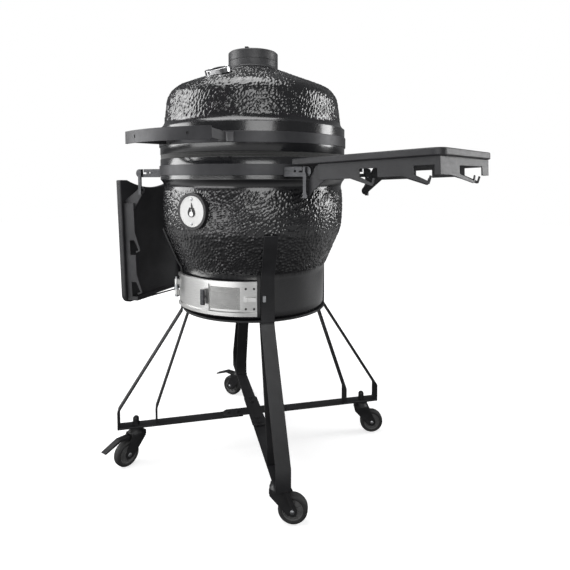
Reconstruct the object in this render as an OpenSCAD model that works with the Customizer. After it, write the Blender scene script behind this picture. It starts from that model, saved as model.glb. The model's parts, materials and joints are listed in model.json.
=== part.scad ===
// Kamado ceramic grill on a wheeled four-legged stand, with two folding side tables.
// The origin is on the floor under the axis of the bowl. +Z is up and the front faces -Y.
// Azimuths are measured from the front, positive towards +X.

/* [Ceramic shell] */
// Outer radius of the rims where the lid meets the base
rim_r = 282; // [280:1:284]
// Thickness of the ceramic wall
wall_t = 26; // [24:1:28]
// Underside of the base above the floor
base_z = 470; // [468:1:472]
// Top of the base rim
base_rim_z = 914; // [912:1:914]
// Underside of the lid rim
lid_rim_z = 927; // [927:1:929]
// Radius of the foot cylinder of the base
foot_r = 217; // [214:1:218]

/* [Bands and hinge] */
// Thickness of the steel bands
band_t = 3; // [2:0.5:4]
// Height of both bands
band_h = 29; // [24:1:32]
// Underside of the lower band
base_band_z = 866; // [864:1:868]
// Underside of the upper band
lid_band_z = 950; // [946:1:954]
// Distance from the bowl's axis to the lid hinge axis
hinge_y = 340; // [336:1:344]
// Height of the lid hinge axis
hinge_z = 905; // [903:1:907]
// Radius of the lid hinge pin
hinge_pin_r = 6; // [5:0.5:7]

/* [Handle] */
// Outer radius of the curved handle strip
handle_r = 400; // [390:1:410]
// Half of the angle that the strip covers
handle_half_a = 21.5; // [19:0.5:23]
// Height of the strip
handle_h = 32; // [28:1:36]

/* [Top vent and thermometer] */
// Radius of the cast vent top
vent_r = 76; // [72:1:78]
// Underside of the vent housing
vent_z = 1186; // [1184:1:1188]
// Top of the turning vent cap
vent_top_z = 1242; // [1238:1:1246]
// Radius of the thermometer case
thermo_r = 38; // [34:1:40]
// Distance of the thermometer from the bowl's axis, on the cone of the lid
thermo_dist = 165; // [160:1:170]

/* [Draft door] */
// Inner radius of the curved draft door plate
door_r = 228; // [227:1:229]
// Half of the angle that the door covers
door_half_a = 37.5; // [36:0.5:38]
// Lower edge of the door
door_z = 485; // [484:1:486]
// Height of the door
door_h = 95; // [93:1:96]

/* [Stand] */
// Width of the flat bars
bar_w = 38; // [34:1:42]
// Thickness of the flat bars
bar_t = 5; // [4:0.5:6]
// Radius at the outer end of the legs
leg_r = 417; // [410:1:424]
// Radius at the foot of the inner struts
strut_r = 307; // [300:1:314]
// Height at which legs and struts bend to the vertical
bend_z = 161; // [155:1:170]
// Underside of the horizontal beams
beam_z = 107; // [105:1:110]
// Radius of the caster stems
caster_r = 365; // [360:1:370]

/* [Casters] */
// Wheel radius
wheel_r = 37.5; // [36:0.5:38]
// Wheel width
wheel_w = 25; // [22:1:27]
// Distance from the swivel axis back to the wheel axle
trail = 35; // [30:1:36]

/* [Side tables] */
// Angle from the side towards the front at which each table sits
table_turn = 9; // [6:1:12]
// Rise of an open table towards its outer end
table_tilt = 2; // [0:1:3]
// Angle through which a table folds
table_fold = 94; // [90:1:94]
// Distance from the bowl's axis to the table pivot
pivot_x = 322; // [318:1:326]
// Height of the table pivot
pivot_z = 822; // [818:1:826]
// Inner edge of the table top
top_x0 = 288; // [286:1:292]
// Outer edge of the table top
top_x1 = 681; // [660:1:690]
// Half width of the table top
top_half_w = 154; // [150:1:156]
// Height of the table top's upper face
top_z = 908; // [906:1:910]
// Thickness of the table top
top_t = 17; // [16:1:20]
// Depth of the apron below the underside of the top
apron_h = 39; // [36:1:42]

/* [Hidden] */
$fn = 96;
band_r = rim_r + band_t;
gap = 0.3;
cone_a = 22;
gasket_t = 6.2;
shoulder_c = [202, 1074];
shoulder_r = 60;
leg_azimuths = [45, -45, 135, -135];
strap_r = foot_r + 7.5;
cradle_z = base_z - 6;
beam_top = beam_z + bar_t;
// Swivel angles of the casters in the stored pose: front right, front left, back right, back left
swivel_a = [116, -6, 121, -91];
apron_x0 = 362;
apron_x1 = top_x1 - 9;
apron_y = top_half_w - 10;
apron_t = 3;
hook_x = [480, 613];
hook_w = 46;
arm_y = apron_y - 3;
arm_z0 = 862;
arm_z1 = 887;
grate_z = 880;

// ---- shared shapes ----

// Points of an arc around c from angle a0 to a1, in n steps
function arc(c, r, a0, a1, n) = [
    for (i = [0:n]) let (a = a0 + (a1 - a0) * i / n) [c[0] + r * cos(a), c[1] + r * sin(a)]
];

function unit(v) = v / norm(v);

// Mitred offset of vertex i of a centreline by d to its left
function mitre(pts, i, d) =
    let (
        before = i > 0 ? unit(pts[i] - pts[i - 1]) : unit(pts[1] - pts[0]),
        after = i < len(pts) - 1 ? unit(pts[i + 1] - pts[i]) : before,
        n0 = [-before[1], before[0]],
        n1 = [-after[1], after[0]]
    )
    pts[i] + d * (n0 + n1) / (1 + n0 * n1);

// Outline of a bent bar of thickness t along a centreline
function bar_outline(pts, t) = concat(
    [for (i = [0:len(pts) - 1]) mitre(pts, i, t / 2)],
    [for (i = [len(pts) - 1:-1:0]) mitre(pts, i, -t / 2)]
);

// Children point along +X, which this turns to azimuth a
module radial(a) rotate([0, 0, a - 90]) children();

// Extrudes an outline in the X-Z plane by w, centred on Y
module upright(w) rotate([90, 0, 0]) linear_extrude(w, center = true) children();

// Flat bar of width w bent along a centreline in the X-Z plane
module bent_bar(pts, t, w) upright(w) polygon(bar_outline(pts, t));

// Part of a ring between azimuths a0 and a1
module ring_part(r0, r1, z0, z1, a0, a1)
    rotate([0, 0, a0 - 90])
    rotate_extrude(angle = a1 - a0)
    translate([r0, z0])
    square([r1 - r0, z1 - z0]);

module ring(r0, r1, z0, z1) rotate_extrude() translate([r0, z0]) square([r1 - r0, z1 - z0]);

module tube(r0, r1, h) difference() {
    cylinder(r = r1, h = h);
    translate([0, 0, -1]) cylinder(r = r0, h = h + 2);
}

module at_legs() for (a = leg_azimuths) radial(a) children();

// Cylinder along X, starting at x0
module rod_x(x0, len, r) translate([x0, 0, 0]) rotate([0, 90, 0]) cylinder(r = r, h = len);

// Cylinder along Y, centred
module rod_y(len, r) rotate([90, 0, 0]) cylinder(r = r, h = len, center = true);

// ---- ceramic ----

function base_outer() = concat(
    [[0, base_z], [foot_r - 5, base_z], [foot_r, base_z + 6], [foot_r + 4, 594], [foot_r + 11, 606]],
    arc([212.5, 722.7], 60, -22.8, -8, 4),
    arc([-146, 773], 422, -7, 8, 6),
    arc([rim_r + 20, 832], 30, 180, 132, 6),
    [[rim_r, 856], [rim_r, base_rim_z], [0, base_rim_z]]
);

function base_inner() = [
    [0, base_z + wall_t], [190, base_z + wall_t], [194, 590], [204, 606], [243, 702],
    [250, 773], [248, 830], [rim_r - wall_t, 862], [rim_r - wall_t, base_rim_z + 1], [0, base_rim_z + 1]
];

module base_solid() rotate_extrude() polygon(base_outer());

module base_shell() color([0.07, 0.07, 0.075]) difference() {
    base_solid();
    rotate_extrude() polygon(base_inner());
    translate([-85, -260, base_z + wall_t + 2]) cube([170, 150, 68]);
}

function lid_outer() = concat(
    [[0, lid_rim_z], [rim_r, lid_rim_z], [rim_r, 1003]],
    arc([rim_r + 16, 1030], 30, 238, 180, 7),
    arc(shoulder_c, shoulder_r, 0, 90 - cone_a, 10),
    [[78, 1188.8], [0, 1188.8]]
);

function lid_inner() = concat(
    [[0, lid_rim_z - 1], [rim_r - wall_t, lid_rim_z - 1], [rim_r - wall_t, 1000], [242, 1030]],
    arc(shoulder_c, shoulder_r - wall_t, 0, 90 - cone_a, 6),
    [[50, 1171], [50, 1190], [0, 1190]]
);

// Height of the lid's outer cone at radius r
function cone_z(r) = shoulder_c[1] + shoulder_r * cos(cone_a)
    + (shoulder_c[0] + shoulder_r * sin(cone_a) - r) * tan(cone_a);

// Places children on the lid's cone at the front, +Z square to the cone
module on_cone()
    translate([0, -thermo_dist, cone_z(thermo_dist)])
    rotate([cone_a, 0, 0])
    children();

module lid_shell() color([0.07, 0.07, 0.075]) difference() {
    rotate_extrude() polygon(lid_outer());
    rotate_extrude() polygon(lid_inner());
    on_cone() translate([0, 0, -60]) cylinder(r = 6, h = 80);
}

module base_gasket() color([0.13, 0.13, 0.12])
    ring(rim_r - 20, rim_r - 1, base_rim_z, base_rim_z + gasket_t);

module lid_gasket() color([0.13, 0.13, 0.12])
    ring(rim_r - 20, rim_r - 1, lid_rim_z - gasket_t, lid_rim_z);

// ---- bands and lid hinge ----

module base_band() color([0.17, 0.17, 0.18])
    ring(rim_r, band_r, base_band_z, base_band_z + band_h);

module lid_band() color([0.17, 0.17, 0.18])
    ring(rim_r, band_r, lid_band_z, lid_band_z + band_h);

// Side plate of a hinge bracket: outline in the Y-Z plane, centred on x, 5 thick
module hinge_ear(x, pts) translate([x, 0, 0]) rotate([90, 0, 90]) linear_extrude(5, center = true) difference() {
    union() {
        polygon(pts);
        translate([hinge_y, hinge_z]) circle(r = 14);
    }
    translate([hinge_y, hinge_z]) circle(r = hinge_pin_r + 0.05);
}

module hinge_base_bracket() color([0.17, 0.17, 0.18]) {
    ring_part(band_r, band_r + 4, base_band_z - 6, base_band_z + band_h + 2, 166, 194);
    for (x = [-60, 60]) {
        hinge_ear(x, [[282, 862], [310, 862], [350, 895], [342, 918], [326, 910], [284, 897]]);
    }
}

module hinge_lid_bracket() color([0.17, 0.17, 0.18]) {
    ring_part(band_r, band_r + 4, lid_band_z - 4, lid_band_z + band_h + 6, 168, 192);
    for (x = [-50, 50]) {
        hinge_ear(x, [[284, 946], [284, 984], [304, 984], [352, 914], [330, 896], [308, 930]]);
    }
}

module hinge_pin() color([0.6, 0.6, 0.6]) translate([0, hinge_y, hinge_z]) {
    rod_x(-68, 136, hinge_pin_r);
    for (x = [-73, 68]) rod_x(x, 5, 10);
}

module hinge_springs() color([0.35, 0.35, 0.36]) translate([0, hinge_y, hinge_z])
    for (x = [-44, 8]) {
        rotate([0, 90, 0]) translate([0, 0, x]) tube(7.5, 12, 36);
    }

// ---- inside ----

module fire_bowl() color([0.62, 0.55, 0.45]) {
    difference() {
        rotate_extrude() polygon([
            [110, 608], [198, 608], [236, 702], [240, 760],
            [216, 760], [212, 706], [186, 632], [134, 632], [134, 624], [110, 624]
        ]);
        translate([-40, -230, 600]) cube([80, 80, 36]);
    }
    at_legs() translate([150, -14, base_z + wall_t]) cube([30, 28, 112]);
}

module charcoal_grate() color([0.2, 0.2, 0.2]) difference() {
    translate([0, 0, 624]) cylinder(r = 133, h = 8);
    for (i = [-4:4]) {
        translate([24 * i - 5, -sqrt(118 * 118 - 24 * 24 * i * i), 620])
            cube([10, 2 * sqrt(118 * 118 - 24 * 24 * i * i), 16]);
    }
}

module fire_ring() color([0.62, 0.55, 0.45]) ring(214, 240, 760, 800);

module heat_deflectors() color([0.55, 0.5, 0.42]) difference() {
    translate([0, 0, 808]) cylinder(r = 222, h = 16);
    translate([-1, -230, 800]) cube([2, 460, 30]);
}

module grill_rack() color([0.7, 0.7, 0.7]) {
    ring(226, 234, 800, 808);
    ring(236, 244, grate_z - 6, grate_z);
    for (a = [0, 90, 180, 270]) radial(a + 45) translate([232, -4, 800]) cube([6, 8, 76]);
    for (a = [0, 90]) rotate([0, 0, a + 45]) translate([-228, -3, 802]) cube([456, 6, 6]);
}

// Half of a round wire grate on the +X side
module half_grate(r, n) {
    intersection() {
        union() {
            ring(r - 8, r, grate_z, grate_z + 6);
            for (i = [0:n - 1]) {
                translate([6 + i * (r - 14) / n, -r, grate_z]) cube([4, 2 * r, 6]);
            }
            translate([2, -4, grate_z]) cube([r - 4, 8, 6]);
        }
        translate([4, 0, 0]) cylinder(r = r, h = 1000);
        translate([3, -r, 0]) cube([r, 2 * r, 1000]);
    }
}

module cooking_grates() color([0.75, 0.75, 0.74]) {
    half_grate(242, 11);
    mirror([1, 0, 0]) half_grate(242, 11);
}

module ash_tray() color([0.7, 0.7, 0.7]) difference() {
    translate([-75, -175, base_z + wall_t + 3]) cube([150, 280, 34]);
    translate([-73, -173, base_z + wall_t + 5]) cube([146, 276, 40]);
}

// ---- badge ----

badge_z = 770;
module badge_place() translate([0, -283.5, badge_z]) rotate([90, 0, 0]) children();

module badge_ring() color([0.05, 0.05, 0.05]) difference() {
    badge_place() translate([0, 0, -24]) tube(42, 50, 24);
    base_solid();
}

module badge_plate() color([0.8, 0.8, 0.8]) badge_place() {
    translate([0, 0, -5]) cylinder(r = 42, h = 4);
    // A plain flame as the emblem
    translate([0, -13, -1]) linear_extrude(1.2) difference() {
        union() {
            circle(r = 13);
            polygon([[-12.7, 2.6], [-7, 14], [-5, 10], [1, 31], [7, 14], [10, 17], [12.7, 2.6]]);
        }
        translate([0, -3]) circle(r = 6);
    }
}

module badge_screws() color([0.25, 0.25, 0.25]) badge_place()
    for (y = [-33, 33]) translate([0, y, -1]) cylinder(r = 4, h = 2);

// ---- handle ----

module handle_grip() color([0.2, 0.2, 0.21]) difference() {
    ring_part(handle_r - 5, handle_r, 964 - handle_h / 2, 964 + handle_h / 2, -handle_half_a, handle_half_a);
    for (a = [-13, 13]) radial(a) translate([0, 0, 964]) rod_x(handle_r - 10, 20, 4);
}

module handle_brackets() color([0.45, 0.45, 0.46]) for (s = [-1, 1]) {
    radial(s * (handle_half_a - 0.6)) translate([band_r + 1, -3, 952]) cube([handle_r - band_r - 6, 6, 24]);
    ring_part(band_r, band_r + 4, 952, 976, s * handle_half_a - 4, s * handle_half_a + 4);
    radial(s * 13) translate([0, 0, 964]) rod_x(band_r + 0.1, handle_r - band_r - 5.2, 7);
}

module handle_screws() color([0.1, 0.1, 0.1])
    for (a = [-13, 13]) radial(a) translate([0, 0, 964]) rod_x(handle_r - 5, 3.5, 4);

// ---- thermometer ----

module thermometer_case() color([0.85, 0.85, 0.86]) on_cone() difference() {
    union() {
        cylinder(r = thermo_r, h = 14);
        translate([0, 0, -110]) cylinder(r = 3, h = 112);
        translate([0, 0, -30]) cylinder(r = 5.9, h = 31);
    }
    translate([0, 0, 3]) cylinder(r = thermo_r - 4, h = 20);
}

module thermometer_dial() color([0.95, 0.95, 0.94]) on_cone()
    translate([0, 0, 3]) cylinder(r = thermo_r - 4, h = 1.2);

module thermometer_lens() color([0.8, 0.85, 0.88, 0.4]) on_cone() translate([0, 0, 11]) difference() {
    rotate_extrude() polygon(concat([[0, 0], [thermo_r - 4, 0]], arc([0, -95], 101, 72, 90, 8)));
    translate([0, 0, -1]) cylinder(r = thermo_r - 8, h = 3);
}

module thermometer_needle() color([0.75, 0.1, 0.08]) on_cone() {
    translate([0, 0, 4.4]) cylinder(r = 3, h = 3);
    translate([-1, -4, 5.4]) cube([2, 30, 1]);
}

// ---- top vent ----

vent_split_z = 1214;

module vent_housing() color([0.16, 0.16, 0.165]) rotate_extrude() polygon([
    [44, 1176], [48, 1176], [48, 1189], [78, 1189], [78, 1192], [vent_r, 1194], [vent_r, vent_split_z],
    [16, vent_split_z], [16, vent_split_z - 5], [44, vent_split_z - 5]
]);

module vent_cap() color([0.16, 0.16, 0.165]) {
    difference() {
        rotate_extrude() polygon([
            [0, vent_split_z + gap], [vent_r, vent_split_z + gap], [vent_r, vent_top_z - 3],
            [vent_r - 3, vent_top_z], [vent_r - 9, vent_top_z], [vent_r - 12, vent_top_z - 6],
            [0, vent_top_z - 6]
        ]);
        for (a = [0:60:300]) rotate([0, 0, a]) translate([42, 0, vent_split_z - 2]) cylinder(r = 11, h = 30);
    }
    radial(20) translate([34, -5, vent_top_z - 7]) cube([vent_r - 36, 10, 11]);
    translate([0, 0, vent_split_z - 10]) cylinder(r = 15.9, h = 11);
}

// ---- draft door ----

hatch_hinge_a = -41.5;
hatch_hinge_r = 240;

module hatch_plate() color([0.78, 0.78, 0.77]) {
    difference() {
        ring_part(door_r, door_r + 2, door_z, door_z + door_h, -door_half_a, door_half_a);
        ring_part(door_r - 9, door_r + 9, door_z + 17, door_z + door_h - 17, -12, 26);
    }
    // Rolled lips, which are the rails of the sliding plate
    for (z = [door_z, door_z + door_h - 3]) {
        ring_part(door_r + 2, door_r + 8, z, z + 3, -door_half_a, door_half_a);
    }
    for (z = [door_z, door_z + door_h - 10]) {
        ring_part(door_r + 6, door_r + 8, z, z + 10, -door_half_a, door_half_a);
    }
    // Knuckles on the hinge pin
    radial(hatch_hinge_a) translate([hatch_hinge_r, 0, 0])
        for (z = [508, 540]) translate([0, 0, z]) tube(3.05, 6, 16);
    for (z = [508, 540]) ring_part(door_r + 0.5, door_r + 2.5, z, z + 16, -39.6, -door_half_a + 1);
    for (z = [508, 540]) radial(-39.4) translate([door_r + 0.5, -2, z]) cube([9, 3, 16]);
}

module hatch_screen() color([0.5, 0.5, 0.5])
    ring_part(door_r - 1.5, door_r, door_z + 10, door_z + door_h - 10, -16, 30);

module hatch_screws() color([0.3, 0.3, 0.3])
    for (a = [30, 35.5], z = [door_z + 20, door_z + door_h - 20]) radial(a)
        translate([0, 0, z]) rod_x(door_r + 2, 2.5, 3);

module hatch_lever() color([0.82, 0.82, 0.81]) {
    radial(30) translate([0, 0, 532]) {
        rod_x(door_r + 2.2, 12, 6);
        translate([door_r + 9.5, 0, -5]) cube([3, 29, 10]);
    }
}

module draft_plate() color([0.88, 0.88, 0.87])
    ring_part(door_r + 3, door_r + 5, door_z + 4, door_z + door_h - 4, -37, 3);

module draft_knob() color([0.75, 0.75, 0.75]) radial(0) translate([0, 0, door_z + door_h / 2]) {
    rod_x(door_r + 5, 7, 4);
    translate([door_r + 11, -6.5, -22]) cube([8, 13, 44]);
}

// Hinge bracket and pin on the front left leg, and the keeper on the front right leg
module hatch_mounts() color([0.6, 0.6, 0.6]) {
    radial(hatch_hinge_a) translate([hatch_hinge_r, 0, 502]) cylinder(r = 3, h = 60);
    for (z = [502, 525]) {
        radial(hatch_hinge_a) translate([hatch_hinge_r, 0, z]) tube(3, 6, z == 502 ? 5.7 : 14.7);
        radial(-45) translate([strap_r + bar_t / 2, -4, z])
            cube([hatch_hinge_r - strap_r - bar_t / 2 - 2, 14, z == 502 ? 5.7 : 14.7]);
    }
    radial(45) translate([strap_r + bar_t / 2, -15, 524]) cube([8, 8, 16]);
}

// ---- stand ----

// One ring under the foot with four uprights that follow the wall
module cradle() color([0.09, 0.09, 0.095]) {
    ring(foot_r - 25, foot_r + 5, cradle_z, base_z);
    at_legs() bent_bar([
        [strap_r, cradle_z], [strap_r, 590], [strap_r + 11, 609], [271.5, 697], [276, 708]
    ], bar_t, bar_w);
}

// Outer leg: sloping strap, vertical end and the beam to the centre, one bent bar
module leg() color([0.09, 0.09, 0.095]) bent_bar([
    [strap_r, cradle_z - 0.5], [strap_r, cradle_z - 7], [leg_r - bar_t / 2, bend_z],
    [leg_r - bar_t / 2, beam_z + bar_t / 2], [40, beam_z + bar_t / 2]
], bar_t, bar_w);

module leg_front_right() radial(leg_azimuths[0]) leg();
module leg_front_left() radial(leg_azimuths[1]) leg();
module leg_back_right() radial(leg_azimuths[2]) leg();
module leg_back_left() radial(leg_azimuths[3]) leg();

// Inner struts from the cradle ring down to the beams
module leg_struts() color([0.09, 0.09, 0.095]) at_legs() bent_bar([
    [foot_r - 14, cradle_z], [foot_r - 14, cradle_z - 7], [strut_r - bar_t / 2, bend_z - 2],
    [strut_r - bar_t / 2, beam_top]
], bar_t, bar_w);

// Cross with chamfered arms under the inner ends of the beams
module cross_plate() color([0.09, 0.09, 0.095]) translate([0, 0, beam_top]) linear_extrude(4) union()
    for (a = [45, 135]) rotate(a) polygon([
        [-100, -12], [-90, -22], [90, -22], [100, -12], [100, 12], [90, 22], [-90, 22], [-100, 12]
    ]);

module frame_bolts() color([0.2, 0.2, 0.2]) at_legs()
    for (r = [55, 85]) translate([r, 0, beam_top + 4]) cylinder(r = 6, h = 4, $fn = 6);

module cap_nuts() color([0.12, 0.12, 0.12]) at_legs() translate([caster_r, 0, beam_top]) {
    cylinder(r = 10.5, h = 9, $fn = 6);
    rotate_extrude() polygon(concat([[0, 9], [9, 9]], arc([0, 18], 9, 0, 90, 6)));
}

// ---- casters ----

// Swivel head and fork, stem on the Z axis, wheel axle at x = trail
module caster() color([0.07, 0.07, 0.07]) {
    translate([0, 0, 100]) cylinder(r = 17, h = beam_z - 100 - gap);
    rotate_extrude() polygon([[0, 84], [24, 84], [24, 92], [17, 100], [0, 100]]);
    for (s = [-1, 1]) translate([0, s * (wheel_w / 2 + 3.5), 0]) upright(4) union() {
        polygon([[-20, 92], [22, 92], [trail + 12, 42], [trail + 9, 27], [trail - 11, 27], [-22, 76]]);
        translate([trail, wheel_r]) circle(r = 12);
    }
    difference() {
        translate([-23, -wheel_w / 2 - 5.5, 80]) cube([46, wheel_w + 11, 12]);
        translate([trail, 0, wheel_r]) rod_y(60, wheel_r + 3);
    }
    translate([trail, 0, wheel_r]) rod_y(wheel_w + 15, 4);
}

module wheel() color([0.1, 0.1, 0.1]) translate([trail, 0, wheel_r]) rotate([90, 0, 0]) difference() {
    rotate_extrude() polygon([
        [4.06, -wheel_w / 2], [10, -wheel_w / 2], [12, -9], [26, -9], [28, -wheel_w / 2],
        [33, -wheel_w / 2], [wheel_r, -wheel_w / 2 + 5], [wheel_r, wheel_w / 2 - 5], [33, wheel_w / 2],
        [28, wheel_w / 2], [26, 9], [12, 9], [10, wheel_w / 2], [4.06, wheel_w / 2]
    ]);
}

brake_pivot = [22, 84];

// Brake lever behind the fork, turning about a cross pin in the head
module brake() color([0.09, 0.09, 0.09]) upright(20) difference() {
    union() {
        translate(brake_pivot) circle(r = 5);
        polygon([[22, 79], [60, 84], [108, 68], [112, 71], [62, 91], [20, 89]]);
    }
    translate(brake_pivot) circle(r = 2.05);
}

module at_caster(i)
    radial(leg_azimuths[i]) translate([caster_r, 0, 0])
    rotate([0, 0, swivel_a[i] - leg_azimuths[i]])
    children();

module caster_front_right() at_caster(0) caster();
module caster_front_left() at_caster(1) braked_caster();
module caster_back_right() at_caster(2) caster();
module caster_back_left() at_caster(3) braked_caster();
module wheel_front_right() at_caster(0) wheel();
module wheel_front_left() at_caster(1) wheel();
module wheel_back_right() at_caster(2) wheel();
module wheel_back_left() at_caster(3) wheel();
module brake_front_left() at_caster(1) brake();
module brake_back_left() at_caster(3) brake();

// Head with a slot and a cross pin for the brake lever
module braked_caster() {
    difference() {
        caster();
        translate([14, -10.5, 76]) cube([40, 21, 15.9]);
    }
    translate([brake_pivot[0], 0, brake_pivot[1]]) rod_y(24, 2);
}

// ---- side tables ----

// Table pose: the table is drawn open and level on the +X side and turned about its pivot
module posed(fold)
    translate([pivot_x, 0, pivot_z])
    rotate([0, fold - table_tilt, 0])
    translate([-pivot_x, 0, -pivot_z])
    children();

module right_side() rotate([0, 0, -table_turn]) children();
module left_side() mirror([1, 0, 0]) right_side() children();

module rounded_plate(x0, x1, half_w, r) union() {
    translate([x0, -half_w]) square([x1 - x0 - r, 2 * half_w]);
    translate([x1 - r - 1, -half_w + r]) square([r + 1, 2 * half_w - 2 * r]);
    for (s = [-1, 1]) translate([x1 - r, s * (half_w - r)]) circle(r = r);
}

module table_top() color([0.24, 0.24, 0.25]) difference() {
    translate([0, 0, top_z - top_t]) linear_extrude(top_t) rounded_plate(top_x0, top_x1, top_half_w, 28);
    translate([0, 0, top_z - top_t - 1]) cylinder(r = 312, h = top_t + 2);
}

// Notch of width w in an apron wall, from x
module hook_notch(x, w) translate([x, -1]) square([w, 22]);

// Hook that slopes down from the start of its notch
module hook_arm(x, w) translate([x, 0]) polygon([
    [-26, 0], [-2, 0], [0, 3], [w * 0.68, -12], [w * 0.76, 0], [w * 0.86, -2],
    [w * 0.74, -18], [w * 0.64, -18.5]
]);

module apron_wall(x0, x1, hooks, w) {
    difference() {
        translate([x0, 0]) square([x1 - x0, apron_h]);
        for (x = hooks) hook_notch(x, w);
    }
    for (x = hooks) hook_arm(x, w);
}

// The end wall has one wide notch with a longer hook
module end_wall() {
    difference() {
        translate([-apron_y, 0]) square([2 * apron_y, apron_h]);
        hook_notch(-42, 141);
    }
    polygon([[-89, 0], [-44, 0], [-42, 3], [42, -12], [49, 1], [55, -1], [48, -17], [40, -18]]);
}

module table_apron() color([0.2, 0.2, 0.21]) translate([0, 0, top_z - top_t - apron_h]) {
    for (s = [-1, 1]) translate([0, s * (apron_y - apron_t / 2), 0])
        upright(apron_t) apron_wall(apron_x0, apron_x1, hook_x, hook_w);
    translate([apron_x1 - apron_t / 2, 0, 0]) rotate([90, 0, 90])
        linear_extrude(apron_t, center = true)
        end_wall();
    // Leaf plates that reach down to the pivots
    for (s = [-1, 1]) translate([0, s * (arm_y - 5), 0]) upright(4) difference() {
        union() {
            polygon([[326, -38], [380, 2], [420, 6], [420, 36], [352, 36], [313, -26]]);
            translate([pivot_x, pivot_z - top_z + top_t + apron_h]) circle(r = 11);
        }
        translate([pivot_x, pivot_z - top_z + top_t + apron_h]) circle(r = 4.05);
    }
}

module table_right_top() right_side() posed(0) table_top();
module table_right_apron() right_side() posed(0) table_apron();
module table_left_top() left_side() posed(table_fold) table_top();
module table_left_apron() left_side() posed(table_fold) table_apron();

// Fixed arms of one side: slotted arms on the lower band and hangers with the pivot pins
module arms_one_side() for (s = [-1, 1]) {
    color([0.62, 0.63, 0.64]) translate([0, s * arm_y, 0]) upright(4) difference() {
        union() {
            translate([249.2, arm_z0]) square([76.8, arm_z1 - arm_z0]);
            translate([326, (arm_z0 + arm_z1) / 2]) circle(r = (arm_z1 - arm_z0) / 2);
        }
        translate([287, 876]) circle(r = 3.5);
        translate([309, 872]) square([5, 30]);
        translate([299, 872]) square([15, 5]);
    }
    color([0.12, 0.12, 0.12]) translate([0, s * (arm_y + 4.5), 0]) upright(5)
        polygon([[317, 808], [327, 808], [327, 866], [324, 872], [324, 886], [316, 886], [316, 872], [317, 866]]);
    color([0.5, 0.5, 0.5]) translate([pivot_x, s * (arm_y - 1), pivot_z]) rod_y(16, 4);
}

module table_arms() {
    right_side() arms_one_side();
    left_side() arms_one_side();
}

// ---- nodes ----

cradle();
leg_front_right();
leg_front_left();
leg_back_right();
leg_back_left();
leg_struts();
cross_plate();
frame_bolts();
cap_nuts();
base_shell();
base_gasket();
base_band();
hinge_base_bracket();
hinge_pin();
hinge_springs();
fire_bowl();
charcoal_grate();
fire_ring();
heat_deflectors();
grill_rack();
cooking_grates();
ash_tray();
badge_ring();
badge_plate();
badge_screws();
table_arms();
hatch_mounts();
lid_shell();
lid_gasket();
lid_band();
hinge_lid_bracket();
handle_grip();
handle_brackets();
handle_screws();
thermometer_case();
thermometer_lens();
thermometer_dial();
thermometer_needle();
vent_housing();
vent_cap();
hatch_plate();
hatch_screen();
hatch_screws();
hatch_lever();
draft_plate();
draft_knob();
table_right_top();
table_right_apron();
table_left_top();
table_left_apron();
caster_front_right();
caster_front_left();
caster_back_right();
caster_back_left();
wheel_front_right();
wheel_front_left();
wheel_back_right();
wheel_back_left();
brake_front_left();
brake_back_left();
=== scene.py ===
"""Looks of the kamado grill: materials, detailed pieces, floor, light and camera."""
import json
from math import cos, hypot, pi, radians, sin, tan

import bmesh
import bpy
from mathutils import Matrix, Vector, noise


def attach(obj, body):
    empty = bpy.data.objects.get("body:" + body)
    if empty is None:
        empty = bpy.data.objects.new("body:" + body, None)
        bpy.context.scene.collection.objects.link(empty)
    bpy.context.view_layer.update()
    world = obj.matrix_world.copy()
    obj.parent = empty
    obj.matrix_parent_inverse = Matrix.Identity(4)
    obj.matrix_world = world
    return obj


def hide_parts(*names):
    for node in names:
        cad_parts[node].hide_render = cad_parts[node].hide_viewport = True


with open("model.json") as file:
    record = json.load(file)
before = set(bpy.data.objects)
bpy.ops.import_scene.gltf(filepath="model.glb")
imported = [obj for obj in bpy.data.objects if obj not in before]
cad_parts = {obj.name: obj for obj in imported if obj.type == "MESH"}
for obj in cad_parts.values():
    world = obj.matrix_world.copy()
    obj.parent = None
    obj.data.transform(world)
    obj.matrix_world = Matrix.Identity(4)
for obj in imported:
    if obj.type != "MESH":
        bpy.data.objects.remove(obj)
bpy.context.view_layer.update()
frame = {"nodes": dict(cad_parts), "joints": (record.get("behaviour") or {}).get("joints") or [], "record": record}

MM = 0.001          # profile and box sizes below are in mm, Blender's are in m
TIP = 0.01          # radius in mm where a turned profile meets its axis
ROUNDED_ANGLE = 38  # edges sharper than this many degrees are rounded on the CAD copies
nodes = frame["nodes"]
scene = bpy.context.scene


# ---------------------------------------------------------------- camera, floor and light

CAMERA_PLACE = (0.891, -1.2428, 0.8531)
CAMERA_DIP, CAMERA_AZIMUTH = 3.21, 31.29    # degrees below level, and round from the front
CAMERA_LENS, SENSOR = 30.66, 36.0
CAMERA_SHIFT = (-0.0100, -0.1362)

# name: place, point it faces, width and height in m, watts
LIGHTS = {
    "key": ((-2.5, -1.5, 1.7), (0, 0, 0.85), (2.0, 2.4), 70),
    "right": ((2.1, -2.3, 1.6), (0, 0, 0.85), (1.7, 2.0), 34),
    "low": ((-0.6, -2.6, 0.4), (0, 0, 0.65), (2.6, 0.7), 15),
    "rim": ((2.2, 1.9, 1.5), (0, 0, 0.9), (1.0, 2.0), 40),
    "top": ((-0.2, -0.4, 3.2), (0, 0, 0.6), (2.0, 2.0), 42),
}
WORLD_SEEN, WORLD_REFLECTED = 1.0, 0.15

FLOOR_HALF = 9                       # half width of the floor, m
# painted light: the floor glows of itself, weaker near the stand
FLOOR_GLOW = 0.62                    # its own light near the stand, rising to 1 far away
GLOW_REACH = (0.8, 3.0)              # distances over which that rises, m
FLOOR_SEEN = (0.7, 0.74)             # its tone as seen
# painted shade: in reflections the floor is darker near the stand
FLOOR_REFLECTED = (0.08, 0.46)       # its tone in reflections, near the stand and far away
REFLECTED_REACH = (0.6, 1.7)         # distances between those two, m


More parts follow.
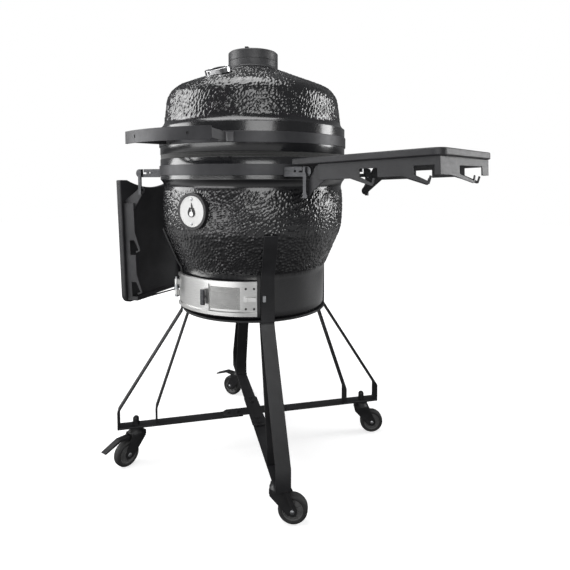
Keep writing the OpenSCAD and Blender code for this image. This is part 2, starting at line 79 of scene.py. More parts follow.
def add_camera():
    cam = bpy.data.cameras.new("camera")
    cam.sensor_width = SENSOR
    cam.lens = CAMERA_LENS
    cam.shift_x, cam.shift_y = CAMERA_SHIFT
    cam.clip_end = 60.0
    obj = bpy.data.objects.new("camera", cam)
    obj.location = CAMERA_PLACE
    obj.rotation_euler = (radians(90 - CAMERA_DIP), 0.0, radians(CAMERA_AZIMUTH))
    scene.collection.objects.link(obj)
    scene.camera = obj


def area_light(name, place, target, size, power):
    light = bpy.data.lights.new(name, "AREA")
    light.shape = "RECTANGLE"
    light.size, light.size_y = size
    light.energy = power
    obj = bpy.data.objects.new(name, light)
    obj.location = place
    toward = Vector(target) - Vector(place)
    obj.rotation_euler = toward.to_track_quat("-Z", "Y").to_euler()
    scene.collection.objects.link(obj)


# ---------------------------------------------------------------- materials

class Nodes:
    """Short calls for building one node material."""

    def __init__(self, name):
        self.material = bpy.data.materials.new(name)
        self.material.use_nodes = True
        self.tree = self.material.node_tree
        self.bsdf = self.tree.nodes["Principled BSDF"]
        self.coord = self.tree.nodes.new("ShaderNodeTexCoord").outputs["Object"]

    def add(self, kind, **values):
        node = self.tree.nodes.new("ShaderNode" + kind)
        for key, value in values.items():
            if hasattr(node, key):
                setattr(node, key, value)
            else:
                node.inputs[key].default_value = value
        return node

    def link(self, a, b):
        self.tree.links.new(a, b)

    def scaled(self, scale):
        node = self.add("Mapping")
        node.inputs["Scale"].default_value = scale
        self.link(self.coord, node.inputs["Vector"])
        return node.outputs["Vector"]

    def noise(self, scale, detail=3.0, stretch=None, rough=0.5):
        node = self.add("TexNoise", Scale=scale, Detail=detail, Roughness=rough)
        self.link(self.scaled(stretch) if stretch else self.coord, node.inputs["Vector"])
        return node.outputs["Fac"]

    def voronoi(self, scale, smooth=0.4, stretch=None):
        node = self.add("TexVoronoi", feature="SMOOTH_F1", Scale=scale, Smoothness=smooth)
        self.link(self.scaled(stretch) if stretch else self.coord, node.inputs["Vector"])
        return node.outputs["Distance"]

    def ramp(self, fac, stops):
        node = self.add("ValToRGB")
        ramp = node.color_ramp
        while len(ramp.elements) < len(stops):
            ramp.elements.new(0.5)
        for element, (place, color) in zip(ramp.elements, stops):
            element.position = place
            element.color = (*color, 1) if isinstance(color, tuple) else (color, color, color, 1)
        self.link(fac, node.inputs["Fac"])
        return node.outputs["Color"]

    def mapped(self, value, low, high, start=0.0, end=1.0):
        node = self.add("MapRange")
        for key, number in (("From Min", start), ("From Max", end), ("To Min", low), ("To Max", high)):
            node.inputs[key].default_value = number
        self.link(value, node.inputs["Value"])
        return node.outputs["Result"]

    def rough(self, fac, low, high):
        self.link(self.mapped(fac, low, high), self.bsdf.inputs["Roughness"])

    def color(self, value):
        self.link(value, self.bsdf.inputs["Base Color"])

    def bump(self, height, strength, distance, after=None):
        node = self.add("Bump", Strength=strength, Distance=distance)
        self.link(height, node.inputs["Height"])
        if after:
            self.link(after, node.inputs["Normal"])
        self.link(node.outputs["Normal"], self.bsdf.inputs["Normal"])
        return node.outputs["Normal"]

    def set(self, **values):
        names = {"coat": "Coat Weight", "coat_rough": "Coat Roughness", "metal": "Metallic",
                 "spec": "Specular IOR Level", "ior": "IOR", "glass": "Transmission Weight",
                 "roughness": "Roughness", "sheen": "Sheen Weight"}
        for key, value in values.items():
            self.bsdf.inputs[names[key]].default_value = value
        return self


def glaze(name, pebbled):
    m = Nodes(name)
    m.color(m.ramp(m.noise(9.0, 4.0), [(0.3, (0.005, 0.005, 0.006)), (0.75, (0.012, 0.012, 0.0135))]))
    m.rough(m.noise(55.0, 5.0), 0.1, 0.3 if pebbled else 0.14)
    m.set(coat=0.7, coat_rough=0.13 if pebbled else 0.04, spec=0.6)
    if pebbled:
        fine = m.bump(m.noise(900.0, 3.0), 0.12, 0.0006)
        m.bump(m.voronoi(330.0, 0.5), 0.25, 0.0006, fine)
    else:
        m.bump(m.noise(300.0, 3.0), 0.04, 0.0006)
    return m.material


def powder_coat(name, dark, light, low, high, grain=1700.0, strength=0.22, metal=0.0):
    m = Nodes(name)
    m.color(m.ramp(m.noise(14.0, 5.0), [(0.3, dark), (0.7, light)]))
    m.rough(m.noise(60.0, 4.0), low, high)
    m.set(metal=metal, spec=0.5)
    m.bump(m.noise(grain, 2.0), strength, 0.0004)
    return m.material


def brushed(name, dark, light, stretch, low=0.2, high=0.38, strength=0.12):
    m = Nodes(name)
    streaks = m.noise(40.0, 6.0, stretch, 0.65)
    m.color(m.ramp(streaks, [(0.3, dark), (0.7, light)]))
    m.rough(streaks, low, high)
    m.set(metal=1.0)
    m.bump(streaks, strength, 0.0003)
    return m.material


def cast_iron(name):
    m = Nodes(name)
    m.color(m.ramp(m.noise(30.0, 5.0), [(0.3, (0.025, 0.025, 0.027)), (0.75, (0.06, 0.06, 0.063))]))
    m.rough(m.noise(90.0, 5.0), 0.32, 0.55)
    m.set(spec=0.5)
    grain = m.bump(m.noise(650.0, 4.0), 0.35, 0.0006)
    m.bump(m.noise(70.0, 2.0), 0.15, 0.002, grain)
    return m.material


def raw_ceramic(name):
    m = Nodes(name)
    m.color(m.ramp(m.noise(120.0, 6.0), [(0.25, (0.36, 0.28, 0.2)), (0.75, (0.62, 0.53, 0.42))]))
    m.rough(m.noise(50.0), 0.75, 0.95)
    m.bump(m.noise(500.0, 5.0), 0.5, 0.001)
    return m.material


def felt(name):
    m = Nodes(name)
    m.color(m.ramp(m.noise(350.0, 4.0), [(0.3, (0.012, 0.012, 0.012)), (0.7, (0.05, 0.05, 0.048))]))
    m.set(roughness=0.95, sheen=0.4)
    m.bump(m.noise(1400.0, 5.0), 0.7, 0.0008)
    return m.material


def plastic(name, dark, light, low, high):
    m = Nodes(name)
    m.color(m.ramp(m.noise(25.0, 4.0), [(0.3, dark), (0.7, light)]))
    m.rough(m.noise(80.0, 4.0), low, high)
    m.bump(m.noise(2200.0, 2.0), 0.15, 0.0003)
    return m.material


def glass(name):
    m = Nodes(name)
    m.bsdf.inputs["Base Color"].default_value = (0.96, 0.98, 1.0, 1)
    m.set(glass=1.0, roughness=0.02, ior=1.45)
    m.bump(m.noise(20.0), 0.01, 0.0005)
    return m.material


MATERIALS = {
    "glaze": glaze("glaze", False),
    "glaze_pebbled": glaze("glaze_pebbled", True),
    "ceramic_raw": raw_ceramic("ceramic_raw"),
    "band": powder_coat("band", (0.028, 0.028, 0.031), (0.05, 0.05, 0.054), 0.34, 0.5, metal=0.3),
    "stand": powder_coat("stand", (0.009, 0.009, 0.01), (0.02, 0.02, 0.022), 0.32, 0.5),
    "table": powder_coat("table", (0.022, 0.022, 0.024), (0.04, 0.04, 0.043), 0.36, 0.55, 1100.0, 0.4, 0.2),
    "stainless": brushed("stainless", (0.62, 0.62, 0.61), (0.84, 0.84, 0.83), (1, 1, 45), 0.26, 0.42),
    "stainless_flat": brushed("stainless_flat", (0.5, 0.5, 0.5), (0.72, 0.72, 0.72), (1, 30, 1), 0.15, 0.3),
    "chrome": brushed("chrome", (0.7, 0.7, 0.71), (0.85, 0.85, 0.86), (1, 1, 8), 0.05, 0.14, 0.03),
    "zinc": brushed("zinc", (0.38, 0.39, 0.41), (0.6, 0.61, 0.62), (2, 1, 6), 0.28, 0.5, 0.2),
    "cast_vent": cast_iron("cast_vent"),
    "arm_steel": brushed("arm_steel", (0.06, 0.062, 0.066), (0.13, 0.13, 0.135), (2, 1, 6), 0.35, 0.55, 0.2),
    "bracket_grey": powder_coat("bracket_grey", (0.1, 0.1, 0.105), (0.16, 0.16, 0.165), 0.34, 0.5, metal=0.3),
    "badge_silver": plastic("badge_silver", (0.74, 0.74, 0.73), (0.84, 0.84, 0.83), 0.3, 0.42),
    "felt": felt("felt"),
    "black_plastic": plastic("black_plastic", (0.01, 0.01, 0.011), (0.025, 0.025, 0.026), 0.3, 0.5),
    "hub_plastic": plastic("hub_plastic", (0.1, 0.1, 0.1), (0.16, 0.16, 0.16), 0.4, 0.6),
    "rubber": plastic("rubber", (0.018, 0.018, 0.018), (0.04, 0.04, 0.04), 0.6, 0.85),
    "dial": plastic("dial", (0.8, 0.8, 0.78), (0.88, 0.88, 0.86), 0.5, 0.6),
    "ink": plastic("ink", (0.01, 0.01, 0.01), (0.02, 0.02, 0.02), 0.5, 0.6),
    "needle_red": plastic("needle_red", (0.45, 0.02, 0.015), (0.6, 0.04, 0.03), 0.3, 0.4),
    "glass": glass("glass"),
}

FINISH = {
    "base_shell": "glaze", "lid_shell": "glaze", "fire_bowl": "ceramic_raw", "fire_ring": "ceramic_raw",
    "heat_deflectors": "ceramic_raw", "base_gasket": "felt", "lid_gasket": "felt",
    "thermometer_lens": "glass", "thermometer_dial": "dial", "thermometer_needle": "needle_red",
    "thermometer_case": "chrome", "vent_housing": "cast_vent", "vent_cap": "cast_vent",
    "badge_ring": "black_plastic", "badge_plate": "badge_silver", "charcoal_grate": "cast_vent",
    "table_arms": "arm_steel", "hatch_lever": "badge_silver", "handle_brackets": "bracket_grey",
}
FINISH_BY_SLOT = {
    "band_coat": "band", "stand_coat": "stand", "stainless": "stainless", "zinc": "zinc",
    "cast_vent": "cast_vent", "table_coat": "table", "felt": "felt", "black_plastic": "black_plastic",
    "tread": "rubber", "ceramic_glaze": "glaze", "ceramic_raw": "ceramic_raw",
    "lens_glass": "glass", "dial_white": "dial", "needle_red": "needle_red",
}
SLOT = {p["node"]: p["material_slot"] for p in frame["record"]["subparts"]}
BODY = {n: b for b, members in frame["record"]["behaviour"]["bodies"].items() for n in members}


def finish_of(node):
    return MATERIALS[FINISH.get(node) or FINISH_BY_SLOT[SLOT[node]]]


def paint(obj, material):
    obj.data.materials.clear()
    obj.data.materials.append(material)


# ---------------------------------------------------------------- pieces

def piece(name, mesh, body, material, smooth_angle=35):
    obj = bpy.data.objects.new(name, mesh)
    scene.collection.objects.link(obj)
    paint(obj, MATERIALS[material] if isinstance(material, str) else material)
    for polygon in mesh.polygons:
        polygon.use_smooth = True
    mesh.set_sharp_from_angle(angle=radians(smooth_angle))
    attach(obj, body)
    return obj


def mesh_from(name, verts, faces):
    mesh = bpy.data.meshes.new(name)
    mesh.from_pydata(verts, [], faces)
    mesh.validate()
    mesh.update()
    return mesh


def soften(obj, width, segments=2, angle=35):
    """Rounds the edges sharper than an angle in degrees by a width in m."""
    bevel = obj.modifiers.new("round", "BEVEL")
    bevel.width = width
    bevel.segments = segments
    bevel.limit_method = "ANGLE"
    bevel.angle_limit = radians(angle)


def rounded_copy(node, width):
    """The same solid with its edges rounded, standing for the CAD node."""
    bm = bmesh.new()
    bm.from_mesh(nodes[node].data)
    bmesh.ops.remove_doubles(bm, verts=bm.verts, dist=1e-6)
    bmesh.ops.dissolve_limit(bm, angle_limit=radians(0.6), verts=bm.verts, edges=bm.edges)
    mesh = bpy.data.meshes.new(node + "_rounded")
    bm.to_mesh(mesh)
    bm.free()
    obj = piece(node + "_rounded", mesh, BODY[node], finish_of(node), ROUNDED_ANGLE)
    soften(obj, width, 2, ROUNDED_ANGLE)
    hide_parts(node)


for name, obj in nodes.items():
    paint(obj, finish_of(name))
    for polygon in obj.data.polygons:
        polygon.use_smooth = True
    obj.data.set_sharp_from_angle(angle=radians(32))

# ---------------------------------------------------------------- shapes built in code

def arc(cr, cz, r, a0, a1, n):
    steps = [radians(a0 + (a1 - a0) * i / n) for i in range(n + 1)]
    return [(cr + r * cos(a), cz + r * sin(a)) for a in steps]


def resample(path, step):
    """Points at even spacing along a path of (r, z) points, both ends kept."""
    out = [path[0]]
    for a, b in zip(path, path[1:]):
        n = max(1, round(hypot(b[0] - a[0], b[1] - a[1]) / step))
        out += [(a[0] + (b[0] - a[0]) * i / n, a[1] + (b[1] - a[1]) * i / n) for i in range(1, n + 1)]
    return out


PEBBLES_PER_METRE = 116.0
PEBBLE_SLOPE = 1.9
UNEVEN_PER_METRE = 45.0


def pebble(p):
    """Height from 0 to 1 of the glaze's pebbled grain at a point in metres."""
    near = noise.voronoi(p * PEBBLES_PER_METRE)[0]
    edge = min(1.0, (near[1] - near[0]) * PEBBLE_SLOPE)
    bump = edge * edge * (3 - 2 * edge)
    return bump * (0.72 + 0.38 * noise.noise(p * UNEVEN_PER_METRE))


def revolve(name, profile, columns, height=None, closed=True):
    """Surface of revolution about Z from (r, z) in mm.

    height(i, point) moves the points of ring i outwards, in mm."""
    count = len(profile)
    verts, faces = [], []
    # every second ring is turned by half a step, which makes the grid finer for the grain
    for i, (r, z) in enumerate(profile):
        before = profile[i - 1] if i or closed else profile[0]
        after = profile[(i + 1) % count] if i < count - 1 or closed else profile[-1]
        dr, dz = after[0] - before[0], after[1] - before[1]
        length = hypot(dr, dz) or 1.0
        nr, nz = dz / length, -dr / length
        for j in range(columns):
            a = 2 * pi * (j + 0.5 * (i % 2)) / columns
            p = Vector((r * cos(a), r * sin(a), z)) * MM
            if height:
                d = height(i, p)
                p += Vector((nr * cos(a), nr * sin(a), nz)) * d * MM
            verts.append(p)
    for i in range(count if closed else count - 1):
        k = (i + 1) % count
        shift = i % 2
        for j in range(columns):
            a, b = i * columns + j, i * columns + (j + 1) % columns
            c, d = k * columns + (j + shift) % columns, k * columns + (j + 1 + shift) % columns
            faces.append((a, b, d, c))
    bm = bmesh.new()
    bm.from_mesh(mesh_from(name + "_raw", verts, faces))
    bmesh.ops.remove_doubles(bm, verts=bm.verts, dist=1e-7)
    bmesh.ops.recalc_face_normals(bm, faces=bm.faces)
    mesh = bpy.data.meshes.new(name)
    bm.to_mesh(mesh)
    bm.free()
    return mesh


def spin(profile, columns=64):
    """Vertices and faces of a closed profile (r, along) in mm turned about Z."""
    count = len(profile)
    verts = [Vector((r * cos(2 * pi * j / columns), r * sin(2 * pi * j / columns), z)) * MM
             for r, z in profile for j in range(columns)]
    faces = [(i * columns + j, i * columns + (j + 1) % columns,
              (i + 1) % count * columns + (j + 1) % columns, (i + 1) % count * columns + j)
             for i in range(count) for j in range(columns)]
    return verts, faces


def block(lo, hi):
    """Vertices and faces of a box in mm."""
    xs, ys, zs = zip(lo, hi)
    verts = [Vector((x, y, z)) * MM for x in xs for y in ys for z in zs]
    return verts, [(0, 1, 3, 2), (4, 6, 7, 5), (0, 4, 5, 1), (2, 3, 7, 6), (0, 2, 6, 4), (1, 5, 7, 3)]


def prism(outline, z0, z1):
    """Vertices and faces of an outline (x, y) in mm between two heights."""
    n = len(outline)
    verts = [Vector((x, y, z)) * MM for z in (z0, z1) for x, y in outline]
    sides = [(i, (i + 1) % n, n + (i + 1) % n, n + i) for i in range(n)]
    return verts, sides + [tuple(range(n - 1, -1, -1)), tuple(range(n, 2 * n))]


def tube(points, radius, sides=10):
    """Vertices and faces of a round wire through points in mm."""
    points = [Vector(p) for p in points]
    verts, faces = [], []
    side = None
    for i, p in enumerate(points):
        ahead = (points[min(i + 1, len(points) - 1)] - points[max(i - 1, 0)]).normalized()
        if side is None:
            side = ahead.orthogonal().normalized()
        side = (side - ahead * side.dot(ahead)).normalized()
        other = ahead.cross(side)
        for j in range(sides):
            a = 2 * pi * j / sides
            verts.append((p + (side * cos(a) + other * sin(a)) * radius) * MM)
    for i in range(len(points) - 1):
        for j in range(sides):
            k = (j + 1) % sides
            faces.append((i * sides + j, i * sides + k, (i + 1) * sides + k, (i + 1) * sides + j))
    faces.append(tuple(range(sides - 1, -1, -1)))
    last = (len(points) - 1) * sides
    faces.append(tuple(range(last, last + sides)))
    return verts, faces


def joined(name, parts, place=Matrix.Identity(4)):
    """One mesh from several (vertices, faces, own matrix or None)."""
    verts, faces = [], []
    for part in parts:
        own = part[2] if len(part) > 2 else Matrix.Identity(4)
        base = len(verts)
        verts += [place @ own @ v for v in part[0]]
        faces += [tuple(base + i for i in f) for f in part[1]]
    bm = bmesh.new()
    bm.from_mesh(mesh_from(name + "_raw", verts, faces))
    bmesh.ops.recalc_face_normals(bm, faces=bm.faces)
    mesh = bpy.data.meshes.new(name)
    bm.to_mesh(mesh)
    bm.free()
    return mesh


def turn_z(angle):
    return Matrix.Rotation(radians(angle), 4, "Z")


def radial(azimuth):
    """+X points at the azimuth, which is counted from the front towards +X."""
    return turn_z(azimuth - 90)


def joint(name):
    return next(j for j in frame["joints"] if j["name"] == name)


def axis_place(name):
    """Matrix that puts +Z on a joint's axis, with the origin at its position."""
    j = joint(name)
    turn = Vector((0, 0, 1)).rotation_difference(Vector(j["axis"])).to_matrix().to_4x4()
    return Matrix.Translation(j["pos_m"]) @ turn


def cut(obj, cutter):
    """Takes the cutter's solid out of a piece for good."""
    boolean = obj.modifiers.new("cut", "BOOLEAN")
    boolean.object = cutter
    boolean.operation = "DIFFERENCE"
    boolean.solver = "EXACT"
    bpy.context.view_layer.update()
    graph = bpy.context.evaluated_depsgraph_get()
    mesh = bpy.data.meshes.new_from_object(obj.evaluated_get(graph))
    obj.modifiers.clear()
    obj.data = mesh
    bpy.data.objects.remove(cutter)


# ---------------------------------------------------------------- ceramic with its pebbled glaze

GRAIN = 2.6         # height of the grain, mm
SUNK = -1.0         # where the grain's valleys lie, measured out from the plain surface, mm
COLUMNS = 860       # points round the bowl and the lid
RING_STEP = 2.1     # distance between the rings that carry the grain, mm
DRAFT_CUT = ((-85, -260, 498), (85, -110, 566))


def grain_between(profile, first, last, fade=7.0):
    """Height function for the rings from index first to last, fading out over the ends."""
    along = [0.0]
    for a, b in zip(profile, profile[1:]):
        along.append(along[-1] + hypot(b[0] - a[0], b[1] - a[1]))

    def height(i, p):
        if not first <= i <= last:
            return 0.0
        near_end = min(along[i] - along[first], along[last] - along[i]) / fade
        weight = max(0.0, min(1.0, near_end))
        return weight * (SUNK + GRAIN * pebble(p))
    return height


def base_ceramic():
    lower = [(0, 470), (100, 470), (205, 470), (210.5, 470.6), (215, 473), (217, 478)]
    lower += [(217 + 4 * i / 8, 478 + 116 * i / 8) for i in range(1, 9)]
    grain = resample([(221.0, 594), (228, 606)] + arc(212.5, 722.7, 60, -22.8, -8, 6)
                     + arc(-146, 773, 422, -7, 7.5, 12), RING_STEP)
    upper = arc(302, 832, 30, 180, 132, 8) + [(282, 856), (282, 880), (282, 912.6), (280.6, 914)]
    inner = [(257.4, 914), (256, 912.6), (256, 862), (248, 830), (250, 773), (243, 702), (204, 606),
             (194, 590), (190, 500), (186, 496), (100, 496), (0, 496)]
    profile = lower + grain[1:] + upper + inner
    first = len(lower) - 1
    height = grain_between(profile, first, first + len(grain) - 1)
    obj = piece("base_ceramic", revolve("base_ceramic", profile, COLUMNS, height, closed=False),
                "stand", "glaze_pebbled", 50)
    cutter = bpy.data.objects.new("cutter", joined("cutter", [block(*DRAFT_CUT)]))
    scene.collection.objects.link(cutter)
    cut(obj, cutter)
    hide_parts("base_shell")


def lid_ceramic():
    rim = [(256, 928.4), (257.4, 927), (280.6, 927), (282, 928.4), (282, 960), (282, 1003)]
    rim += arc(298, 1030, 30, 238, 205, 6)
    grain = resample(arc(298, 1030, 30, 203, 180, 4) + [(262, 1074)]
                     + arc(202, 1074, 60, 0, 68, 24)[1:] + [(79, 1188.4)], RING_STEP)
    inner = [(78, 1188.8), (50, 1188.8), (50, 1171)] + arc(202, 1074, 34, 68, 0, 8)
    inner += [(242, 1030), (256, 1000)]
    profile = rim + grain + inner
    first = len(rim)
    height = grain_between(profile, first, first + len(grain) - 1)
    obj = piece("lid_ceramic", revolve("lid_ceramic", profile, COLUMNS, height), "lid",
                "glaze_pebbled", 50)
    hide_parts("lid_shell")


# ---------------------------------------------------------------- lid hardware

SPRING_TURNS, SPRING_LENGTH, SPRING_R, SPRING_WIRE = 9, 36, 9.6, 1.5
SPRING_STEPS = 16   # points in one turn of wire
HINGE = Vector((0, 340, 905)) * MM


def springs():
    """Two coil springs on the hinge pin."""
    wires = []
    for x0 in (-44, 8):
        coil = []
        for i in range(SPRING_TURNS * SPRING_STEPS + 1):
            a = 2 * pi * i / SPRING_STEPS
            along = (SPRING_LENGTH - 2 * SPRING_WIRE) * i / (SPRING_TURNS * SPRING_STEPS)
            coil.append((x0 + SPRING_WIRE + along, SPRING_R * cos(a), SPRING_R * sin(a)))
        wires.append(tube(coil, SPRING_WIRE, 8))
    obj = piece("coil_springs", joined("coil_springs", wires, Matrix.Translation(HINGE)), "stand",
                "zinc", 60)
    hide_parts("hinge_springs")


# The lid's cone above its shoulder, and the place on it where the thermometer sits
CONE = 22
SHOULDER_R, SHOULDER_Z, SHOULDER_ARC = 202, 1074, 60
GAUGE_Y = 165
SHOULDER_TOP = (SHOULDER_R + SHOULDER_ARC * sin(radians(CONE)),
                SHOULDER_Z + SHOULDER_ARC * cos(radians(CONE)))
CONE_TOP = Vector((0, -GAUGE_Y, SHOULDER_TOP[1] + (SHOULDER_TOP[0] - GAUGE_Y) * tan(radians(CONE))))
ON_CONE = Matrix.Translation(CONE_TOP * MM) @ Matrix.Rotation(radians(CONE), 4, "X")

DIAL_START, DIAL_SWEEP = 215, 250       # degrees, counted clockwise
DIAL_NUMBERS = [50 * i for i in range(9)]
TICKS_PER_NUMBER = 5
DIAL_FACE, TICK_TOP = 0.0042, 0.25      # height of the dial above the cone in m, of a tick in mm
NUMBER_R, NUMBER_SIZE = 0.0222, 0.0058


def thermometer_marks():
    """Ticks and plain numbers on the dial."""
    place = ON_CONE @ Matrix.Translation((0, 0, DIAL_FACE))
    ticks = (len(DIAL_NUMBERS) - 1) * TICKS_PER_NUMBER
    parts = []
    for i in range(ticks + 1):
        inner, half = (27, 0.5) if i % TICKS_PER_NUMBER == 0 else (29, 0.25)
        tick = block((inner, -half, 0), (31.5, half, TICK_TOP))
        parts.append((*tick, turn_z(DIAL_START - DIAL_SWEEP * i / ticks)))
    piece("dial_ticks", joined("dial_ticks", parts, place), "lid", "ink")
    for i, number in enumerate(DIAL_NUMBERS):
        text = bpy.data.curves.new("number", "FONT")
        text.body = str(number)
        text.size = NUMBER_SIZE
        text.extrude = 0.0001
        text.align_x, text.align_y = "CENTER", "CENTER"
        holder = bpy.data.objects.new("number", text)
        scene.collection.objects.link(holder)
        bpy.context.view_layer.update()
        mesh = bpy.data.meshes.new_from_object(holder)
        bpy.data.objects.remove(holder)
        a = radians(DIAL_START - DIAL_SWEEP * i / (len(DIAL_NUMBERS) - 1))
        mesh.transform(place @ Matrix.Translation((NUMBER_R * cos(a), NUMBER_R * sin(a), 0.0002)))
        piece(f"dial_number_{i}", mesh, "lid", "ink")


NEEDLE_FACE = 0.0074    # height of the needle above the cone, m


def hub_cap():
    """Small domed boss of the needle."""
    place = ON_CONE @ Matrix.Translation((0, 0, NEEDLE_FACE))
    dome = spin([(TIP, 0), (3.4, 0), (3.2, 0.8), (2.2, 1.5), (TIP, 1.8)], 24)
    piece("needle_boss", joined("needle_boss", [dome], place), "needle", "ink", 60)


# ---------------------------------------------------------------- draft door

SCREEN_FROM, SCREEN_TO = -16, 30        # azimuths of the screen's sides
SCREEN_BOTTOM, SCREEN_TOP = 495, 570
SCREEN_PITCH, SCREEN_WIRE = 2.2, 0.75
UPRIGHT_R, LEVEL_R = 227.5, 226.9       # radii on which the two sets of wires lie
LEVEL_STEPS = 24                        # straight lengths in one bowed wire


def draft_screen():
    """Woven wire screen behind the sliding plate."""
    sweep = SCREEN_TO - SCREEN_FROM

    def at(radius, share, z):
        a = radians(SCREEN_FROM + sweep * share - 90)
        return radius * cos(a), radius * sin(a), z

    columns = int(radians(sweep) * 227 / SCREEN_PITCH)
    height = SCREEN_TOP - SCREEN_BOTTOM
    rows = int(height / SCREEN_PITCH)
    parts = []
    for i in range(columns + 1):
        ends = [at(UPRIGHT_R, i / columns, z) for z in (SCREEN_BOTTOM, SCREEN_TOP)]
        parts.append(tube(ends, SCREEN_WIRE, 5))
    for k in range(rows + 1):
        z = SCREEN_BOTTOM + 0.6 + (height - 1.2) * k / rows
        bow = [at(LEVEL_R, i / LEVEL_STEPS, z) for i in range(LEVEL_STEPS + 1)]
        parts.append(tube(bow, SCREEN_WIRE, 5))
    obj = piece("draft_screen", joined("draft_screen", parts), "hatch", "stainless", 60)
    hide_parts("hatch_screen")


KNOB_R, KNOB_Z = 233, 532.5


def draft_knob():
    """Upright finger grip on a short post."""
    outward = Matrix.Rotation(radians(90), 4, "Y")
    place = radial(0) @ Matrix.Translation(Vector((KNOB_R, 0, KNOB_Z)) * MM) @ outward
    post = spin([(TIP, 0), (3.9, 0), (3.9, 7), (TIP, 7)], 32)
    grip = block((-21.9, -6.4, 6), (21.9, 6.4, 13.9))
    shape = joined("slide_knob", [post, grip], place)
    obj = piece("slide_knob", shape, "draft", "arm_steel", 40)
    soften(obj, 0.002, 3)
    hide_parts("draft_knob")


# ---------------------------------------------------------------- badge

BADGE = Vector((0, -283.5, 770)) * MM
SCREW_Y = 33
FLAME = [(0, -15), (7, -14), (12, -9.5), (13.6, -3), (12.4, 3), (9.6, 8), (8.6, 12), (6.8, 8.4), (4.6, 14),
         (2.4, 20), (0, 26), (-1.6, 20), (-1.2, 14), (-4.4, 9), (-6.6, 13.2), (-10.2, 8), (-13, 2),
         (-13.6, -4), (-11.6, -10), (-7, -14)]


def flame(scale, shift):
    return [(x * scale, y * scale + shift) for x, y in FLAME]


def badge():
    """Round plate with a raised edge and a plain flame."""
    place = Matrix.Translation(BADGE) @ Matrix.Rotation(radians(90), 4, "X")
    plate = [(TIP, -5), (41.9, -5), (41.9, -1.2), (41.2, -0.4), (39.6, -0.4), (38.6, -1.0), (TIP, -1.0)]
    obj = piece("badge_disc", joined("badge_disc", [spin(plate, 128)], place), "stand",
                "badge_silver", 25)
    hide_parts("badge_plate")
    emblem = {
        "badge_flame": (flame(0.95, -1), -1.1, 0.3, "ink"),
        "badge_flame_core": (flame(0.5, -6), -0.2, 0.9, "stainless_flat"),
    }
    for name, (outline, back, front, finish) in emblem.items():
        shape = joined(name, [prism(outline, back, front)], place)
        soften(piece(name, shape, "stand", finish, 40), 0.0003, 2)
    dome = spin([(TIP, -1.5), (4.2, -1.5), (4.2, -0.4), (3.4, 0.7), (2, 1.2), (TIP, 1.35)], 28)
    heads = [(*dome, Matrix.Translation((0, y * MM, 0))) for y in (-SCREW_Y, SCREW_Y)]
    screws = piece("badge_screw_heads", joined("badge_screw_heads", heads, place), "stand",
                   "zinc", 40)
    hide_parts("badge_screws")


# ---------------------------------------------------------------- casters

TYRE = [(26.5, -10.5), (29, -12.0), (32.5, -12.3), (35.3, -11), (37, -8), (37.5, -4), (37.5, 4), (37, 8),
        (35.3, 11), (32.5, 12.3), (29, 12.0), (26.5, 10.5)]
HUB = [(4.06, -12.4), (8.6, -12.4), (9.6, -11.2), (10.4, -7), (23, -6), (25, -9.6), (26.6, -10.2),
       (26.6, 10.2), (25, 9.6), (23, 6), (10.4, 7), (9.6, 11.2), (8.6, 12.4), (4.06, 12.4)]


SPOKES = 8
AXLE_CAP = [(TIP, 17.9), (TIP, 20.6), (3.4, 20.4), (5.4, 19.4), (6, 17.9)]
CORNERS = ("front_right", "front_left", "back_right", "back_left")


def wheels():
    """Tyre, spoked hub and axle caps of each caster."""
    spoke = block((9.5, -1.1, -9), (24.5, 1.1, 9))
    spokes = [(*spoke, turn_z(360 / SPOKES * i)) for i in range(SPOKES)]
    caps = [spin(AXLE_CAP, 24), (*spin(AXLE_CAP, 24), Matrix.Rotation(pi, 4, "X"))]
    for corner in CORNERS:
        place = axis_place("wheel_spin_" + corner)
        piece("tyre_" + corner, joined("tyre_" + corner, [spin(TYRE, 96)], place), "wheel_" + corner,
              "rubber", 50)
        hub = piece("hub_" + corner, joined("hub_" + corner, [spin(HUB, 64)] + spokes, place),
                    "wheel_" + corner, "hub_plastic", 35)
        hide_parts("wheel_" + corner)
        piece("axle_caps_" + corner, joined("axle_caps_" + corner, caps, place), "swivel_" + corner,
              "zinc", 40)


# ---------------------------------------------------------------- building

# widths in m of the rounded edges on copies of CAD nodes
ROUNDED = {
    "table_right_top": 0.003, "table_left_top": 0.003,
    "table_right_apron": 0.0006, "table_left_apron": 0.0006,
    "cradle": 0.0008, "leg_front_right": 0.0009, "leg_front_left": 0.0009, "leg_back_right": 0.0009,
    "leg_back_left": 0.0009, "leg_struts": 0.0009, "cross_plate": 0.0008, "handle_grip": 0.0012,
    "handle_brackets": 0.0009, "base_band": 0.0009, "lid_band": 0.0009, "vent_cap": 0.0014,
    "vent_housing": 0.0012, "thermometer_case": 0.0012, "badge_ring": 0.0016, "hinge_base_bracket": 0.0007,
    "hinge_lid_bracket": 0.0007, "hatch_lever": 0.0007, "hinge_pin": 0.0006,
    "caster_front_right": 0.0013, "caster_front_left": 0.0013, "caster_back_right": 0.0013,
    "caster_back_left": 0.0013, "brake_front_left": 0.0014, "brake_back_left": 0.0014,
}
base_ceramic()
lid_ceramic()
springs()
thermometer_marks()
hub_cap()
draft_screen()
draft_knob()
badge()
wheels()
for node, width in ROUNDED.items():
    rounded_copy(node, width)


# ---------------------------------------------------------------- stage

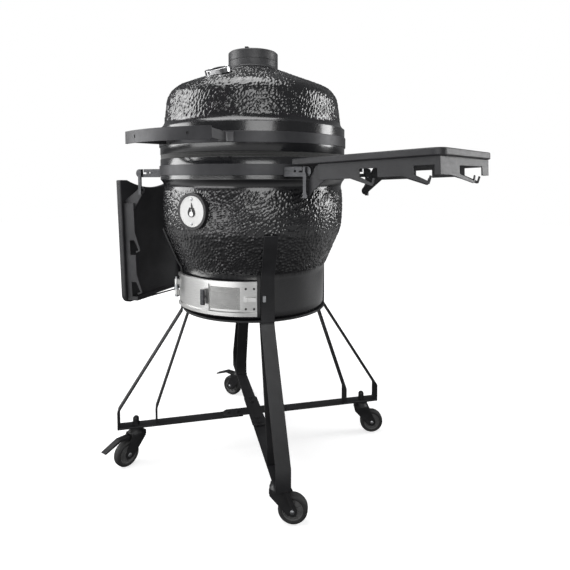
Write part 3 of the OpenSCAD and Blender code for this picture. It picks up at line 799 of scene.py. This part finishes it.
def floor_material():
    """Pale and evenly lit as seen, partly by a painted glow that is weaker near the stand; darker near the stand
    in reflections, a painted shade, so that the grain shows.
    """
    m = Nodes("floor")
    seen = m.ramp(m.noise(3.0), list(zip((0.0, 1.0), FLOOR_SEEN)))
    direct = m.add("LightPath").outputs["Is Camera Ray"]
    far = m.add("VectorMath", operation="LENGTH")
    m.link(m.coord, far.inputs[0])
    away = far.outputs["Value"]
    # painted shade: the floor's tone in reflections darkens towards the stand
    reflected = m.ramp(m.mapped(away, 0.0, 1.0, *REFLECTED_REACH), list(zip((0.0, 1.0), FLOOR_REFLECTED)))
    tone = m.add("MixRGB")
    m.link(direct, tone.inputs["Fac"])
    m.link(reflected, tone.inputs["Color1"])
    m.link(seen, tone.inputs["Color2"])
    m.color(tone.outputs["Color"])
    m.set(roughness=0.9, spec=0.0)
    m.bsdf.inputs["Emission Color"].default_value = (1, 1, 1, 1)
    # painted light: the floor glows for camera rays, less near the stand, which paints it darker there
    shown = m.add("Math", operation="MULTIPLY")
    m.link(direct, shown.inputs[0])
    m.link(m.mapped(away, FLOOR_GLOW, 1.0, *GLOW_REACH), shown.inputs[1])
    m.link(shown.outputs["Value"], m.bsdf.inputs["Emission Strength"])
    return m.material


def studio_world():
    """White as seen, dim in reflections."""
    world = bpy.data.worlds.new("studio")
    scene.world = world
    world.use_nodes = True
    tree = world.node_tree
    seen = tree.nodes["Background"]
    seen.inputs["Color"].default_value = (1, 1, 1, 1)
    seen.inputs["Strength"].default_value = WORLD_SEEN
    dim = tree.nodes.new("ShaderNodeBackground")
    dim.inputs["Color"].default_value = (0.97, 0.98, 1, 1)
    dim.inputs["Strength"].default_value = WORLD_REFLECTED
    path = tree.nodes.new("ShaderNodeLightPath")
    pick = tree.nodes.new("ShaderNodeMixShader")
    tree.links.new(path.outputs["Is Camera Ray"], pick.inputs["Fac"])
    tree.links.new(dim.outputs["Background"], pick.inputs[1])
    tree.links.new(seen.outputs["Background"], pick.inputs[2])
    tree.links.new(pick.outputs["Shader"], tree.nodes["World Output"].inputs["Surface"])


add_camera()
corners = [(-FLOOR_HALF, -FLOOR_HALF, 0), (FLOOR_HALF, -FLOOR_HALF, 0), (FLOOR_HALF, FLOOR_HALF, 0),
           (-FLOOR_HALF, FLOOR_HALF, 0)]
floor = bpy.data.objects.new("floor", mesh_from("floor", corners, [(0, 1, 2, 3)]))
scene.collection.objects.link(floor)
paint(floor, floor_material())
studio_world()
scene.view_settings.view_transform = "Standard"
for name, settings in LIGHTS.items():
    area_light(name, *settings)
